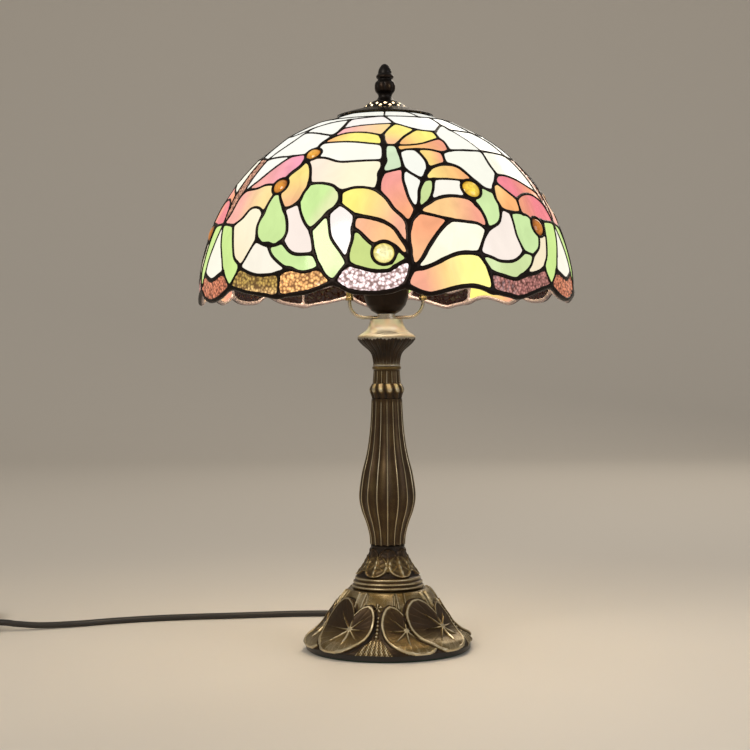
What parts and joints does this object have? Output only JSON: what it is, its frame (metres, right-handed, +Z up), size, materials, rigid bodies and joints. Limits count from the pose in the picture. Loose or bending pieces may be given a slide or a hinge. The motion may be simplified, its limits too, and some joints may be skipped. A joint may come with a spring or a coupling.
{
  "type": "table lamp",
  "caption": "Table lamp with a domed leaded glass shade on a harp, a cast reeded stem, a lily pad base, a corded plug and an in-line rocker switch.",
  "frame": {"origin": "centre of the felt under the base, on the surface that the lamp stands on", "axes": "+Z up the stem, +X to the right seen from the front, +Y towards the back, where the cord leaves the base"},
  "size_m": [0.5966, 0.4198, 0.4712],
  "materials": {
    "bronze": "cast, antique bronze paint rubbed back on the high spots",
    "dark_bronze": "dark antique bronze paint, satin",
    "dark_paint": "near-black satin paint",
    "felt": "pressed wool felt",
    "steel": "plain zinc plated sheet",
    "iron": "raw cast iron ballast",
    "brass": "satin brass",
    "nickel": "nickel plated",
    "porcelain": "glazed porcelain",
    "bulb_glass": "warm white frosted lamp glass",
    "filament": "lit filament mount",
    "glass_white": "white opalescent glass, gloss",
    "glass_cream": "cream opalescent glass, gloss",
    "glass_green": "pale green opalescent glass, gloss",
    "glass_pink": "pink opalescent glass, gloss",
    "glass_peach": "peach and yellow streaked opalescent glass, gloss",
    "glass_ripple": "clear ripple glass with a purple brown tint",
    "jewel": "amber pressed glass jewels",
    "lead": "soldered copper foil with black patina",
    "cord_sheath": "black PVC sheath, satin",
    "black_plastic": "moulded, fine texture"
  },
  "bodies": {
    "root": {"felt_pad": "felt", "foot_ring": "dark_paint", "bottom_plate": "steel", "base_weight": "iron", "base_casting": "bronze", "tube_washer": "nickel", "tube_nut": "brass", "threaded_tube": "brass", "bell_casting": "bronze", "reeded_stem": "bronze", "gadroon_collar": "bronze", "fluted_neck": "bronze", "neck_ring": "bronze", "vase_cup": "bronze", "harp_saddle": "nickel", "saddle_nut": "nickel", "socket_cup": "dark_bronze", "socket_shell": "dark_bronze", "socket_insulator": "porcelain", "socket_thread": "brass", "socket_contact": "brass", "inner_lead": "cord_sheath", "harp_bow": "brass", "harp_stud": "brass", "cord_grommet": "cord_sheath", "cord_lead": "cord_sheath", "cord_link": "cord_sheath", "cord_coil": "cord_sheath", "cord_tail": "cord_sheath", "switch_bottom": "black_plastic", "switch_top": "black_plastic", "switch_screws": "steel", "plug_body": "black_plastic", "plug_pins": "nickel"},
    "shade": {"glass_white": "glass_white", "glass_cream": "glass_cream", "glass_green": "glass_green", "glass_pink": "glass_pink", "glass_peach": "glass_peach", "glass_ripple": "glass_ripple", "glass_jewels": "jewel", "shade_came": "lead", "crown_ring": "brass", "vent_cap": "dark_bronze"},
    "finial": {"finial": "dark_bronze", "finial_insert": "brass"},
    "bulb": {"bulb_glass": "bulb_glass", "bulb_cap": "nickel", "bulb_contact": "brass", "bulb_filament": "filament"},
    "sleeve_left": {"harp_sleeve_left": "brass"},
    "sleeve_right": {"harp_sleeve_right": "brass"},
    "rocker": {"switch_rocker": "black_plastic"}
  },
  "joints": [
    {"name": "shade_turn", "type": "hinge", "parent": "root", "child": "shade", "pos_m": [0, 0, 0.4397], "axis": [0, 0, 1], "continuous": true},
    {"name": "finial_screw", "type": "hinge", "parent": "root", "child": "finial", "pos_m": [0, 0, 0.4398], "axis": [0, 0, 1], "continuous": true},
    {"name": "bulb_screw", "type": "hinge", "parent": "root", "child": "bulb", "pos_m": [0, 0, 0.3], "axis": [0, 0, 1], "continuous": true},
    {"name": "sleeve_left_lift", "type": "slide", "parent": "root", "child": "sleeve_left", "axis": [0, 0, 1], "range_m": [0, 0.01]},
    {"name": "sleeve_right_lift", "type": "slide", "parent": "root", "child": "sleeve_right", "axis": [0, 0, 1], "range_m": [0, 0.01]},
    {"name": "rocker_tilt", "type": "hinge", "parent": "root", "child": "rocker", "pos_m": [-0.366, 0.086, 0.013], "axis": [0, 1, 0], "range_deg": [-16, 0]}
  ]
}
